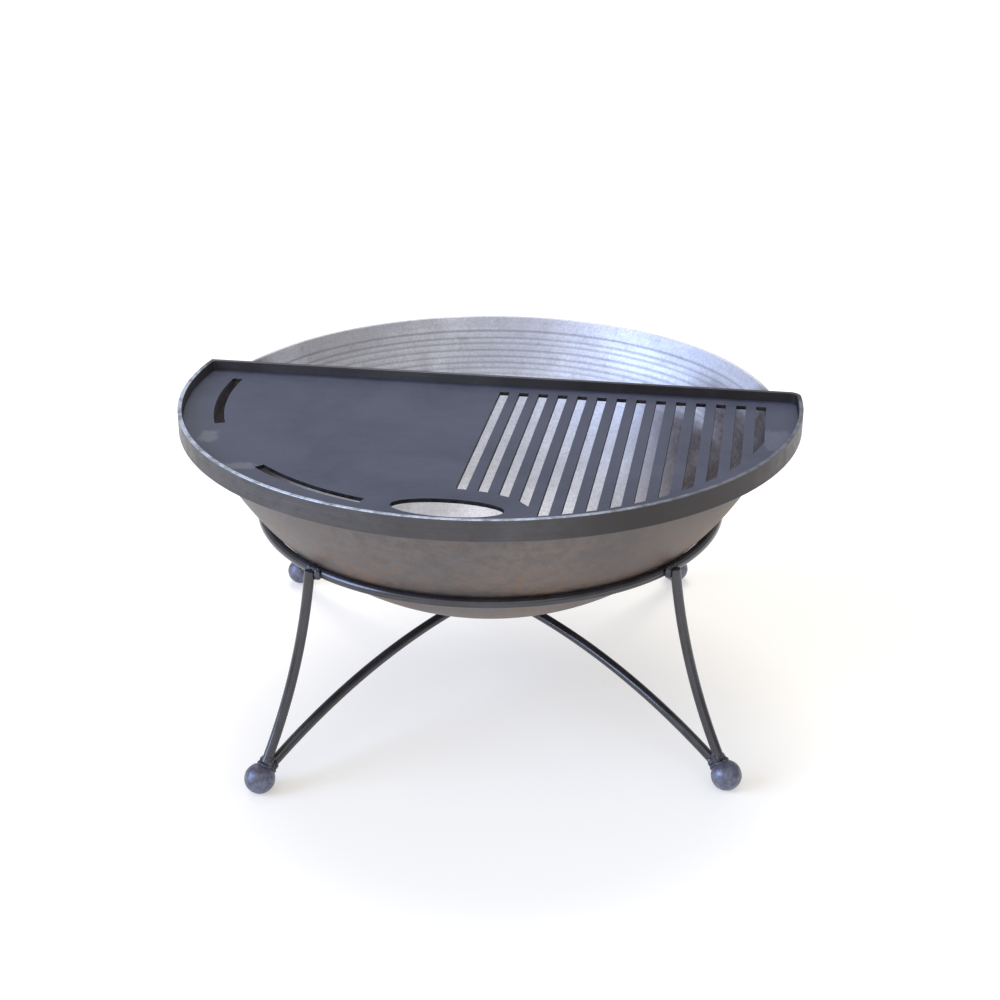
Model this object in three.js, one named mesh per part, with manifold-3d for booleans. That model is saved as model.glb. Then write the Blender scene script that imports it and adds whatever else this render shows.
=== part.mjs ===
// Fire pit with a half-moon cooking plate: a dished steel bowl sits in the ring of a welded
// round-bar stand on four ball feet, and a D-shaped griddle and grate lies on the bowl's rim.
// Millimetres, +Z up. The origin is on the floor under the middle of the footprint.

import * as THREE from "three";
import { mergeVertices } from "three/addons/utils/BufferGeometryUtils.js";
import Module from "manifold-3d";

// ---- Driving dimensions ----

// Stand
const BAR_DIAMETER = 12;
const RING_RADIUS = 282; // to the bar's centre
const RING_HEIGHT = 249; // of the bar's centre above the floor
const FOOT_RADIUS = 382; // from the stand's axis to each ball's centre
const BALL_DIAMETER = 36;
const BALL_FLAT_DIAMETER = 10; // the worn flat that a ball stands on
const UPRIGHT_BOW = 13; // how far an upright bows in from a straight line
const UPRIGHT_OVERRUN = 5; // an upright's top above the ring's centre
const STAND_TURN = 0.7; // degrees, anticlockwise from above
const LEG_COUNT = 4;

// Bowl
const BOWL_DIAMETER = 700;
const BOWL_DEPTH = 245;
const BOWL_WALL = 4;

// Plate
const PLATE_THICKNESS = 5;
const PLATE_TURN = -9.5; // degrees, how far the plate is turned on the bowl
const RIM_OVERHANG = 20; // from the bowl's rim to the inside of the edge band
const BAND_THICKNESS = 5;
const BAND_HEIGHT = 25;
const BAND_UPSTAND = 12; // how far the band stands above the plate
const CHORD_OFFSET = 59; // the straight edge's outer face, behind the bowl's axis
const BEND_RADIUS = 14; // outside of the bent right-hand corner
const RIM_NOTCH_PLAY = 2.5; // on each side of the bowl's wall, where the straight edge drops over it

// Grate slots, curved slots and the oval hole at the front
const SLOT_COUNT = 14;
const SLOT_WIDTH = 11.5;
const FIRST_SLOT_X = 12.6; // the first slot's centre, to the right of the plate's middle
const LAST_SLOT_MARGIN = 44.4; // from the last slot's centre to the band's inner face
const SLOT_BACK_MARGIN = 20.5; // from the straight edge's inner face
const SLOT_EDGE_MARGIN = 29; // from the band's inner face
const CURVED_SLOT_WIDTH = 12;
const CURVED_SLOT_MARGIN = 37; // from the band's inner face to the slot's outer edge
const CURVED_SLOT_SPAN = 27; // degrees
const CURVED_SLOT_BACK_MARGIN = 28; // from the straight edge's inner face to the left-hand slot
const CURVED_SLOT_OVAL_MARGIN = 32; // along the edge, from the front curved slot to the oval hole
const OVAL_LENGTH = 122;
const OVAL_WIDTH = 45;
const OVAL_X = 7; // the oval's centre, to the right of the plate's middle
const OVAL_EDGE_MARGIN = 28; // from the band's inner face
const OVAL_SLOT_MARGIN = 28; // of plate between the oval and the grate slots

// Clearances
const WELD_GAP = 0.3; // between pieces that a weld joins
const REST_GAP = 0.3; // between pieces that rest on each other
const CROSS_CLEARANCE = 1.5; // between the bowl and the arches under it

// Facets
const ROUND_SEGMENTS = 72; // of the bowl and of the ring, which share them so that they nest
const BOWL_ROWS = 10;
const BAR_SIDES = 12;
const UPRIGHT_STEPS = 14;
const ARCH_STEPS = 36;
const BALL_SEGMENTS = 20;
const EDGE_SEGMENTS = 24; // of the band and of the plate, which share them so that they nest

// ---- Sizes worked out from them ----

const barRadius = BAR_DIAMETER / 2;
const ballRadius = BALL_DIAMETER / 2;
const ballHeight = Math.sqrt(ballRadius ** 2 - (BALL_FLAT_DIAMETER / 2) ** 2);

const bowlRadius = BOWL_DIAMETER / 2;
const dishRadius = (bowlRadius ** 2 + BOWL_DEPTH ** 2) / (2 * BOWL_DEPTH);
const ringContact = dishRadius + barRadius + REST_GAP;
const dishCentre = RING_HEIGHT + Math.sqrt(ringContact ** 2 - RING_RADIUS ** 2);
const bowlBottom = dishCentre - dishRadius;
const rimHeight = bowlBottom + BOWL_DEPTH;

const archHeight = bowlBottom - CROSS_CLEARANCE - barRadius;
const archRise = archHeight - ballHeight;
const archRadius = (FOOT_RADIUS ** 2 + archRise ** 2) / (2 * archRise);

const bandInside = bowlRadius + RIM_OVERHANG;
const bandOutside = bandInside + BAND_THICKNESS;
const plateBottom = rimHeight + REST_GAP;
const plateTop = plateBottom + PLATE_THICKNESS;
const bandTop = plateTop + BAND_UPSTAND;
const bandBottom = bandTop - BAND_HEIGHT;
const chordInside = CHORD_OFFSET - BAND_THICKNESS;
const ovalY = -(bandInside - OVAL_EDGE_MARGIN - OVAL_WIDTH / 2);
const slotPitch = (bandInside - LAST_SLOT_MARGIN - FIRST_SLOT_X) / (SLOT_COUNT - 1);
const curvedSlotRadius = bandInside - CURVED_SLOT_MARGIN - CURVED_SLOT_WIDTH / 2;

const { degToRad } = THREE.MathUtils;

// ---- Materials ----

const steel = (color, roughness, metalness) => () =>
  new THREE.MeshStandardMaterial({ color, roughness, metalness });
const bareSteel = steel(0x9b9894, 0.5, 0.85);
const paintedSteel = steel(0x2b2c33, 0.42, 0.5);
const plateSteel = steel(0x4b4f5d, 0.5, 0.55);
const bandSteel = steel(0x5d5f66, 0.5, 0.6);

// ---- Booleans ----

const wasm = await Module();
wasm.setup();

function toSolid(geometry) {
  const bare = new THREE.BufferGeometry();
  bare.setAttribute("position", geometry.getAttribute("position"));
  if (geometry.index) bare.setIndex(geometry.index);
  const merged = mergeVertices(bare, 1e-3);
  return new wasm.Manifold(
    new wasm.Mesh({
      numProp: 3,
      vertProperties: new Float32Array(merged.getAttribute("position").array),
      triVerts: new Uint32Array(merged.index.array),
    }),
  );
}

function toGeometry(solid) {
  const { vertProperties, triVerts } = solid.getMesh();
  const geometry = new THREE.BufferGeometry();
  geometry.setAttribute("position", new THREE.BufferAttribute(vertProperties, 3));
  geometry.setIndex(new THREE.BufferAttribute(triVerts, 1));
  return geometry;
}

// The geometry with every one of the cutters taken away.
function cut(geometry, ...cutters) {
  const solid = cutters.reduce((left, cutter) => left.subtract(toSolid(cutter)), toSolid(geometry));
  return toGeometry(solid);
}

// ---- Shared shapes ----

// A circular arc in the XZ plane, about centre, from one angle to another.
class ArcInPlane extends THREE.Curve {
  constructor(centre, radius, startAngle, endAngle) {
    super();
    Object.assign(this, { centre, radius, startAngle, endAngle });
  }

  getPoint(t, target = new THREE.Vector3()) {
    const angle = THREE.MathUtils.lerp(this.startAngle, this.endAngle, t);
    const x = this.centre.x + this.radius * Math.cos(angle);
    const z = this.centre.y + this.radius * Math.sin(angle);
    return target.set(x, 0, z);
  }
}

function roundBar(path, radius, steps) {
  const section = new THREE.Shape().absarc(0, 0, radius, 0, 2 * Math.PI);
  return new THREE.ExtrudeGeometry(section, {
    extrudePath: path,
    steps,
    curveSegments: BAR_SIDES / 2,
  });
}

function ball(radius, height) {
  return new THREE.SphereGeometry(radius, BALL_SEGMENTS, BALL_SEGMENTS / 2)
    .rotateX(Math.PI / 2)
    .translate(FOOT_RADIUS, 0, height);
}

// A closed LatheGeometry turned from (radius, height) points about the Z axis.
function turned(profile, segments) {
  const points = profile.map(([r, z]) => new THREE.Vector2(r, z));
  return new THREE.LatheGeometry(points, segments).rotateX(Math.PI / 2);
}

function mesh(name, geometry, material) {
  const made = new THREE.Mesh(geometry, material());
  made.name = name;
  return made;
}

// ---- Stand ----

// The uprights' arc: from a ball's centre to the ring's outer side, bowing in.
function uprightArc() {
  const foot = new THREE.Vector2(FOOT_RADIUS, ballHeight);
  const ringSide = RING_RADIUS + BAR_DIAMETER + 2 * WELD_GAP;
  const top = new THREE.Vector2(ringSide, RING_HEIGHT);
  const chord = top.clone().sub(foot);
  const length = chord.length();
  const radius = (length ** 2 / 4 + UPRIGHT_BOW ** 2) / (2 * UPRIGHT_BOW);
  const outward = new THREE.Vector2(chord.y, -chord.x).normalize();
  const middle = foot.clone().add(top).multiplyScalar(0.5);
  const centre = middle.addScaledVector(outward, radius - UPRIGHT_BOW);
  const angleOf = (point) => Math.atan2(point.y - centre.y, point.x - centre.x);
  const wrap = (angle) => (angle + 2 * Math.PI) % (2 * Math.PI);
  const overrun = UPRIGHT_OVERRUN / radius;
  return new ArcInPlane(centre, radius, wrap(angleOf(foot)), wrap(angleOf(top)) - overrun);
}

// The arches' arc: from the ball at one end over the axis, to endAngle.
function archArc(endAngle) {
  const centre = new THREE.Vector2(0, archHeight - archRadius);
  const halfSpan = Math.asin(FOOT_RADIUS / archRadius);
  return new ArcInPlane(centre, archRadius, Math.PI / 2 - halfSpan, endAngle ?? Math.PI / 2 + halfSpan);
}

const uprightPath = uprightArc();
const upright = roundBar(uprightPath, barRadius, UPRIGHT_STEPS);
const uprightWithGap = roundBar(uprightPath, barRadius + WELD_GAP, UPRIGHT_STEPS);
const ballWithGap = ball(ballRadius + WELD_GAP, ballHeight);
const acrossTheAxis = (geometry) => geometry.clone().rotateZ(Math.PI);

function makeStand() {
  const stand = new THREE.Group();
  stand.rotation.z = degToRad(STAND_TURN);
  stand.add(makeRing());

  for (let i = 0; i < LEG_COUNT; i++) {
    const leg = new THREE.Group();
    leg.rotation.z = (2 * Math.PI * (i + 0.5)) / LEG_COUNT;
    leg.add(mesh(`upright_${i + 1}`, cut(upright, ballWithGap), paintedSteel));
    leg.add(mesh(`ball_foot_${i + 1}`, makeBallFoot(), paintedSteel));
    stand.add(leg);
  }

  const footCutters = [ballWithGap, uprightWithGap];
  const farFootCutters = footCutters.map(acrossTheAxis);
  const wholeArch = roundBar(archArc(), barRadius, ARCH_STEPS);
  const whole = mesh("cross_arch", cut(wholeArch, ...footCutters, ...farFootCutters), paintedSteel);
  whole.rotation.z = Math.PI / LEG_COUNT;
  stand.add(whole);

  // The second arch is two halves that butt against the first one on the axis.
  const crossing = roundBar(archArc(), barRadius + WELD_GAP, ARCH_STEPS).rotateZ(Math.PI / 2);
  const halfArch = roundBar(archArc(Math.PI / 2), barRadius, ARCH_STEPS / 2);
  for (let i = 0; i < 2; i++) {
    const half = mesh(`half_arch_${i + 1}`, cut(halfArch, ...footCutters, crossing), paintedSteel);
    half.rotation.z = Math.PI / LEG_COUNT + Math.PI / 2 + i * Math.PI;
    stand.add(half);
  }
  return stand;
}

function makeRing() {
  const profile = [];
  for (let i = 0; i <= BAR_SIDES; i++) {
    const angle = (2 * Math.PI * i) / BAR_SIDES;
    profile.push([RING_RADIUS + barRadius * Math.cos(angle), RING_HEIGHT + barRadius * Math.sin(angle)]);
  }
  return mesh("support_ring", turned(profile, ROUND_SEGMENTS), paintedSteel);
}

function makeBallFoot() {
  const belowFlat = new THREE.BoxGeometry(BALL_DIAMETER, BALL_DIAMETER, BALL_DIAMETER);
  belowFlat.translate(FOOT_RADIUS, 0, -ballRadius);
  return cut(ball(ballRadius, ballHeight), belowFlat);
}

// ---- Bowl ----

function makeBowl() {
  const arc = (radius) => {
    const rimAngle = Math.acos((dishCentre - rimHeight) / radius);
    return Array.from({ length: BOWL_ROWS + 1 }, (_, i) => {
      const angle = (rimAngle * i) / BOWL_ROWS;
      return [radius * Math.sin(angle), dishCentre - radius * Math.cos(angle)];
    });
  };
  const outside = arc(dishRadius);
  const inside = arc(dishRadius - BOWL_WALL).reverse();
  const bowl = mesh("bowl", turned([...outside, ...inside], ROUND_SEGMENTS), bareSteel);
  bowl.rotation.z = degToRad(STAND_TURN);
  return bowl;
}

// ---- Plate ----

// A D: straight at the back, round in front, with its right-hand corner bent to a radius.
function traceD(path, radius, chord, bend) {
  const bendY = chord - bend;
  const bendX = Math.sqrt((radius - bend) ** 2 - bendY ** 2);
  const bendEnd = Math.atan2(bendY, bendX);
  const leftCorner = Math.PI - Math.asin(chord / radius);
  path.absarc(0, 0, radius, leftCorner, bendEnd + 2 * Math.PI, false);
  path.absarc(bendX, bendY, bend, bendEnd, Math.PI / 2, false);
  return path;
}

// One grate slot: square at the back, cut to the plate's edge or to the oval's in front.
function slotHole(centreX) {
  const backY = chordInside - SLOT_BACK_MARGIN;
  const frontRadius = bandInside - SLOT_EDGE_MARGIN;
  const clearHalfLength = OVAL_LENGTH / 2 + OVAL_SLOT_MARGIN;
  const clearHalfWidth = OVAL_WIDTH / 2 + OVAL_SLOT_MARGIN;
  const frontY = (x) => {
    const fromEdge = -Math.sqrt(frontRadius ** 2 - x ** 2);
    const share = (x - OVAL_X) / clearHalfLength;
    const fromOval = ovalY + clearHalfWidth * Math.sqrt(Math.max(1 - share ** 2, 0));
    return Math.abs(share) < 1 ? Math.max(fromEdge, fromOval) : fromEdge;
  };
  const left = centreX - SLOT_WIDTH / 2;
  const right = centreX + SLOT_WIDTH / 2;
  const hole = new THREE.Path();
  hole.moveTo(left, backY);
  hole.lineTo(left, frontY(left));
  hole.lineTo(right, frontY(right));
  hole.lineTo(right, backY);
  return hole;
}

// One curved slot along the plate's edge, anticlockwise from the start angle.
function curvedSlotHole(start) {
  const end = start + degToRad(CURVED_SLOT_SPAN);
  const hole = new THREE.Path();
  hole.absarc(0, 0, curvedSlotRadius + CURVED_SLOT_WIDTH / 2, start, end, false);
  hole.absarc(0, 0, curvedSlotRadius - CURVED_SLOT_WIDTH / 2, end, start, true);
  return hole;
}

// Where the two curved slots start: the left-hand one by the straight edge, the other short of the oval.
function curvedSlotStarts() {
  const besideChord = Math.PI - Math.asin((chordInside - CURVED_SLOT_BACK_MARGIN) / curvedSlotRadius);
  const ovalEnd = Math.atan2(ovalY, OVAL_X - OVAL_LENGTH / 2);
  const besideOval =
    ovalEnd - CURVED_SLOT_OVAL_MARGIN / curvedSlotRadius - degToRad(CURVED_SLOT_SPAN);
  return [besideChord, besideOval];
}

function extrudeFlat(shape, bottom, height) {
  return new THREE.ExtrudeGeometry(shape, {
    depth: height,
    bevelEnabled: false,
    curveSegments: EDGE_SEGMENTS,
  }).translate(0, 0, bottom);
}

function makePlate() {
  const inset = BAND_THICKNESS + WELD_GAP;
  const outline = traceD(
    new THREE.Shape(),
    bandOutside - inset,
    CHORD_OFFSET - inset,
    BEND_RADIUS - inset,
  );
  for (let i = 0; i < SLOT_COUNT; i++) {
    outline.holes.push(slotHole(FIRST_SLOT_X + i * slotPitch));
  }
  for (const start of curvedSlotStarts()) {
    outline.holes.push(curvedSlotHole(start));
  }
  const oval = new THREE.Path();
  oval.absellipse(OVAL_X, ovalY, OVAL_LENGTH / 2, OVAL_WIDTH / 2, 0, 2 * Math.PI, false);
  outline.holes.push(oval);
  return mesh("cooking_plate", extrudeFlat(outline, plateBottom, PLATE_THICKNESS), plateSteel);
}

// One notch in the straight edge's lower half, on the given side, where it drops over the bowl's wall.
function rimNotch(side) {
  const acrossAt = (radius, y) => Math.sqrt(radius ** 2 - y ** 2);
  const drop = dishCentre - bandBottom;
  const wallInside = Math.sqrt((dishRadius - BOWL_WALL) ** 2 - drop ** 2);
  const innerX = acrossAt(wallInside, CHORD_OFFSET) - RIM_NOTCH_PLAY;
  const outerX = acrossAt(bowlRadius, chordInside) + RIM_NOTCH_PLAY;
  const depth = plateBottom - bandBottom;
  return new THREE.BoxGeometry(outerX - innerX, 4 * BAND_THICKNESS, 2 * depth).translate(
    (side * (innerX + outerX)) / 2,
    CHORD_OFFSET - BAND_THICKNESS / 2,
    bandBottom,
  );
}

function makeEdgeBand() {
  const outline = traceD(new THREE.Shape(), bandOutside, CHORD_OFFSET, BEND_RADIUS);
  const inside = traceD(
    new THREE.Path(),
    bandInside,
    chordInside,
    BEND_RADIUS - BAND_THICKNESS,
  );
  outline.holes.push(inside);
  const band = extrudeFlat(outline, bandBottom, BAND_HEIGHT);
  return mesh("edge_band", cut(band, rimNotch(-1), rimNotch(1)), bandSteel);
}

function makeCookingTop() {
  const top = new THREE.Group();
  top.rotation.z = degToRad(PLATE_TURN);
  top.add(makePlate(), makeEdgeBand());
  return top;
}

// ---- Assembly ----

const firePit = new THREE.Group();
firePit.add(makeStand(), makeBowl(), makeCookingTop());
firePit.updateMatrixWorld(true);

const extent = new THREE.Box3().setFromObject(firePit, true);
const middle = extent.getCenter(new THREE.Vector3());
firePit.position.set(-middle.x, -middle.y, -extent.min.z);

export default firePit;
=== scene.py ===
# %% [markdown]
# # A steel fire pit with a half-moon cooking plate
# The real thing is a spun steel bowl, dropped into the ring of a stand that is bent and welded
# from round bar. A D-shaped plate, half griddle and half grate, lies on the bowl's rim.
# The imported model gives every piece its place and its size. This lesson builds the same pieces
# again, finely enough to see the spinning grooves, the weld beads and the worn edges.

# %% Load the frame
import math
import random

import bpy
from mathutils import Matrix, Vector, noise


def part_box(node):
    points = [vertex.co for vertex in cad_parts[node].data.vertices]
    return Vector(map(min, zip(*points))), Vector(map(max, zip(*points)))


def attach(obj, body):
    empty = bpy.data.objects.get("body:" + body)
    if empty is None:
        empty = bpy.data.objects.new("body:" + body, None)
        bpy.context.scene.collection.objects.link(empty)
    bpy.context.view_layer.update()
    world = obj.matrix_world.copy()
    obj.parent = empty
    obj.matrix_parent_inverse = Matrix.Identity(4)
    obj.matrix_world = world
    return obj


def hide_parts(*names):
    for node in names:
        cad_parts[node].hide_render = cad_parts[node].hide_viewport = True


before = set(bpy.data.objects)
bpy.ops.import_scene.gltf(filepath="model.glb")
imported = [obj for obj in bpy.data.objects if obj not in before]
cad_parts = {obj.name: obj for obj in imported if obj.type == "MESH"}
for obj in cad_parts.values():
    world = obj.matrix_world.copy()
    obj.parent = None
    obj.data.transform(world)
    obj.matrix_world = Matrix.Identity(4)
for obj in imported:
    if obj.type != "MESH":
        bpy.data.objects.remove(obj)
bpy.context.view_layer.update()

# %% [markdown]
# ## Measure before building
# A smith takes sizes off the job instead of guessing them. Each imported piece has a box, and the
# boxes give the bowl's axis, the rim, the ring and the bar. The few sizes that a box can't tell,
# such as the slots, are written here once, in metres.

# %% Take the sizes off the frame
MM = 0.001
bowl_low, bowl_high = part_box("bowl")
ring_low, ring_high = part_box("support_ring")
plate_low, plate_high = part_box("cooking_plate")
band_low, band_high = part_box("edge_band")

AXIS = Vector(((bowl_low.x + bowl_high.x) / 2, (bowl_low.y + bowl_high.y) / 2, 0))
BAR_RADIUS = (ring_high.z - ring_low.z) / 2
RING_HEIGHT = (ring_high.z + ring_low.z) / 2
RING_RADIUS = (ring_high.x - ring_low.x) / 2 - BAR_RADIUS

RIM_RADIUS = (bowl_high.x - bowl_low.x) / 2
BOWL_DEPTH = bowl_high.z - bowl_low.z
BOWL_WALL = 4 * MM
DISH_RADIUS = (RIM_RADIUS**2 + BOWL_DEPTH**2) / (2 * BOWL_DEPTH)
DISH_CENTRE = bowl_low.z + DISH_RADIUS

BAND_OUTSIDE = (band_high.x - band_low.x) / 2
BAND_THICKNESS = 5 * MM
CHORD_OFFSET = 59 * MM  # the straight bar's back face, behind the bowl's axis
BEND_RADIUS = 14 * MM
PLATE_TURN = math.radians(-9.5)
print("bar", round(2 * BAR_RADIUS, 4), "rim", round(RIM_RADIUS, 4), "dish", round(DISH_RADIUS, 4))

# %% [markdown]
# ## The camera
# The camera comes first, so that every piece is judged in its place. It looks down at the pit
# from about the chest height of someone who stands two metres away. It could be aimed with a
# constraint, but a place and one angle, written down, are easier to read and to change.

# %% Camera
CAMERA_BACK = 1.972  # from the bowl's axis to the camera, over the floor
CAMERA_HEIGHT = 1.126
LOOK_DOWN = math.radians(24.01)
LENS_MM = 62.35

camera_data = bpy.data.cameras.new("camera")
camera_data.lens = LENS_MM
camera_data.sensor_width = 36
camera_data.shift_x = 0.0095
camera_data.dof.use_dof = False
camera = bpy.data.objects.new("camera", camera_data)
camera.location = (AXIS.x, AXIS.y - CAMERA_BACK, CAMERA_HEIGHT)
camera.rotation_euler = (math.pi / 2 - LOOK_DOWN, 0, 0)
bpy.context.scene.collection.objects.link(camera)
bpy.context.scene.camera = camera
bpy.context.scene.view_settings.view_transform = "Standard"
print("camera", [round(v, 3) for v in camera.location], "lens", LENS_MM)

# %% [markdown]
# ## The light
# A studio would light this with soft boxes. Three broad sun lamps do that work here: their large
# angle gives soft shadows and the broad streaks that polished bar picks up. The strongest stands
# low at the left, blue like a north window, and two warmer ones fill from the front and the back.
# Suns were chosen over area lamps because they light the whole floor evenly.


# %% Lights
def soft_sun(name, azimuth, elevation, strength, spread, colour):
    """A sun lamp. Azimuth 0 shines from the camera's side and 90 from the right."""
    data = bpy.data.lights.new(name, "SUN")
    data.energy = strength
    data.angle = math.radians(spread)
    data.color = colour
    lamp = bpy.data.objects.new(name, data)
    turn, rise = math.radians(azimuth), math.radians(elevation)
    level = math.cos(rise)
    towards = Vector((math.sin(turn) * level, -math.cos(turn) * level, math.sin(rise)))
    lamp.rotation_euler = towards.to_track_quat("Z", "Y").to_euler()
    bpy.context.scene.collection.objects.link(lamp)
    print(name, "shines from", azimuth, "at", elevation, "degrees up")


soft_sun("window_light", azimuth=-74, elevation=26, strength=2.35, spread=34, colour=(0.47, 0.62, 1.0))
soft_sun("front_light", azimuth=-10, elevation=40, strength=0.85, spread=80, colour=(1.0, 0.97, 0.95))
soft_sun("back_light", azimuth=184, elevation=60, strength=1.25, spread=34, colour=(1.0, 0.98, 0.96))

world = bpy.data.worlds.new("studio")
world.use_nodes = True
world.node_tree.nodes["Background"].inputs["Color"].default_value = (0.985, 0.985, 1.0, 1)
world.node_tree.nodes["Background"].inputs["Strength"].default_value = 0.52
bpy.context.scene.world = world

# %% [markdown]
# ## A small kit for steel finishes
# Every finish here but the floor's is steel, and steel is never one flat colour: rolling scale,
# heat, dust and rust break it up at several sizes at once. Nodes could be placed and linked one
# by one, but this kit wraps them in a few short calls, so that each finish below reads as a
# recipe: masks first, then colour, roughness and relief.


# %% The finish kit
class Finish:
    """One material, its shader, and short ways to add nodes to it."""

    def __init__(self, name, colour, metallic, specular=0.5):
        self.material = bpy.data.materials.new(name)
        self.material.use_nodes = True
        self.tree = self.material.node_tree
        self.shader = self.tree.nodes["Principled BSDF"]
        self.shader.inputs["Metallic"].default_value = metallic
        self.shader.inputs["Specular IOR Level"].default_value = specular
        self.material.diffuse_color = (*colour, 1)
        self.place = self.tree.nodes.new("ShaderNodeTexCoord").outputs["Object"]

    def feed(self, socket, value):
        """Sets a socket to a number or a colour, or links it to another socket."""
        if isinstance(value, bpy.types.NodeSocket):
            self.tree.links.new(value, socket)
        elif isinstance(value, tuple) and len(value) == 3 and socket.type == "RGBA":
            socket.default_value = (*value, 1)
        else:
            socket.default_value = value

    def stretch(self, scale, start=None):
        """Coordinates that run at a different scale along each axis."""
        mapping = self.tree.nodes.new("ShaderNodeMapping")
        mapping.inputs["Scale"].default_value = scale
        self.feed(mapping.inputs["Vector"], start or self.place)
        return mapping.outputs["Vector"]

    def axis(self, name):
        """How far a place lies along X, Y or Z."""
        split = self.tree.nodes.new("ShaderNodeSeparateXYZ")
        self.feed(split.inputs[0], self.place)
        return split.outputs[name]

    def cloud(self, scale, detail=5, roughness=0.6, distortion=0, where=None):
        """Soft noise. Scale is how many blotches lie along a metre."""
        node = self.tree.nodes.new("ShaderNodeTexNoise")
        node.inputs["Scale"].default_value = scale
        node.inputs["Detail"].default_value = detail
        node.inputs["Roughness"].default_value = roughness
        node.inputs["Distortion"].default_value = distortion
        self.feed(node.inputs["Vector"], where or self.place)
        return node.outputs["Fac"]

    def span(self, value, low, high, to_low=0.0, to_high=1.0):
        """The value's part between low and high, spread over a new range and clamped."""
        node = self.tree.nodes.new("ShaderNodeMapRange")
        node.interpolation_type = "SMOOTHSTEP"
        for name, given in (
            ("Value", value),
            ("From Min", low),
            ("From Max", high),
            ("To Min", to_low),
            ("To Max", to_high),
        ):
            self.feed(node.inputs[name], given)
        return node.outputs["Result"]

    def maths(self, operation, first, second=0.0, clamp=False):
        """One step of arithmetic on two numbers or sockets. The four steps below name their own."""
        node = self.tree.nodes.new("ShaderNodeMath")
        node.operation = operation
        node.use_clamp = clamp
        self.feed(node.inputs[0], first)
        self.feed(node.inputs[1], second)
        return node.outputs[0]

    def times(self, first, second, clamp=False):
        return self.maths("MULTIPLY", first, second, clamp)

    def plus(self, first, second):
        return self.maths("ADD", first, second)

    def less(self, first, second):
        return self.maths("SUBTRACT", first, second)

    def most(self, first, second):
        return self.maths("MAXIMUM", first, second)

    def mix(self, share, first, second):
        """The first colour where share is 0, and the second where it is 1."""
        node = self.tree.nodes.new("ShaderNodeMix")
        node.data_type = "RGBA"
        self.feed(node.inputs["Factor"], share)
        self.feed(node.inputs[6], first)
        self.feed(node.inputs[7], second)
        return node.outputs[2]

    def layer(self, name):
        """A value that the mesh carries at its points, such as how deep a groove is."""
        node = self.tree.nodes.new("ShaderNodeAttribute")
        node.attribute_name = name
        return node.outputs["Fac"]

    def worn_edge(self, width, sharpness=2.2):
        """1 along sharp edges, 0 on open faces: it shows where a rounded normal leaves the true one."""
        rounded = self.tree.nodes.new("ShaderNodeBevel")
        rounded.samples = 4
        rounded.inputs["Radius"].default_value = width
        true = self.tree.nodes.new("ShaderNodeNewGeometry")
        dot = self.tree.nodes.new("ShaderNodeVectorMath")
        dot.operation = "DOT_PRODUCT"
        self.feed(dot.inputs[0], rounded.outputs["Normal"])
        self.feed(dot.inputs[1], true.outputs["Normal"])
        return self.times(self.less(1.0, dot.outputs["Value"]), sharpness, True)

    def relief(self, height, depth, onto=None, strength=1.0):
        """Bump of that depth in metres, over another bump if one is given."""
        node = self.tree.nodes.new("ShaderNodeBump")
        node.inputs["Distance"].default_value = depth
        node.inputs["Strength"].default_value = strength
        self.feed(node.inputs["Height"], height)
        if onto is not None:
            self.feed(node.inputs["Normal"], onto)
        return node.outputs["Normal"]

    def wear(self, colour, roughness, normal):
        """Puts the finished colour, roughness and relief on the shader."""
        self.feed(self.shader.inputs["Base Color"], colour)
        self.feed(self.shader.inputs["Roughness"], roughness)
        self.feed(self.shader.inputs["Normal"], normal)
        return self.material


# %% [markdown]
# ## The floor
# A studio floor is a wide sheet of pale paper. Here it is one large face, so wide that its edge
# stays near the horizon from any side. The paper glows a little of its own accord: that keeps it
# plain and pale right round the pit, and still lets the shadow under the bowl show.

# %% The floor
FLOOR_HALF = 400.0
PAPER_GLOW = 0.40


def make_floor():
    half = FLOOR_HALF
    corners = [(-half, -half, 0), (half, -half, 0), (half, half, 0), (-half, half, 0)]
    mesh = bpy.data.meshes.new("studio_floor")
    mesh.from_pydata(corners, [], [(0, 1, 2, 3)])
    floor = bpy.data.objects.new("studio_floor", mesh)
    bpy.context.scene.collection.objects.link(floor)
    paper = Finish("pale_paper", (0.9, 0.9, 0.9), metallic=0, specular=0.1)
    grain = paper.cloud(3, detail=2)
    tone = paper.mix(grain, (0.700, 0.672, 0.615), (0.720, 0.692, 0.635))
    paper.shader.inputs["Roughness"].default_value = 0.9
    paper.shader.inputs["Emission Color"].default_value = (1, 1, 1, 1)
    paper.shader.inputs["Emission Strength"].default_value = PAPER_GLOW
    paper.feed(paper.shader.inputs["Base Color"], tone)
    mesh.materials.append(paper.material)
    print("floor", 2 * half, "metres wide")


make_floor()

# %% [markdown]
# ## Three steels for the stand
# The bars are hot-rolled, brushed and oiled: blue-black, half glossy, with brown rust starting in
# places and a little bare metal where things rub. Dark steel like this is mostly its highlights,
# so its roughness is broken up as much as its colour. The weld beads are cast where they lie, and
# the torch's heat tints them brown and blue. The ball feet are forged, duller and greyer. One
# finish could serve all three, but real joints show just because the metals beside them differ.


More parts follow.
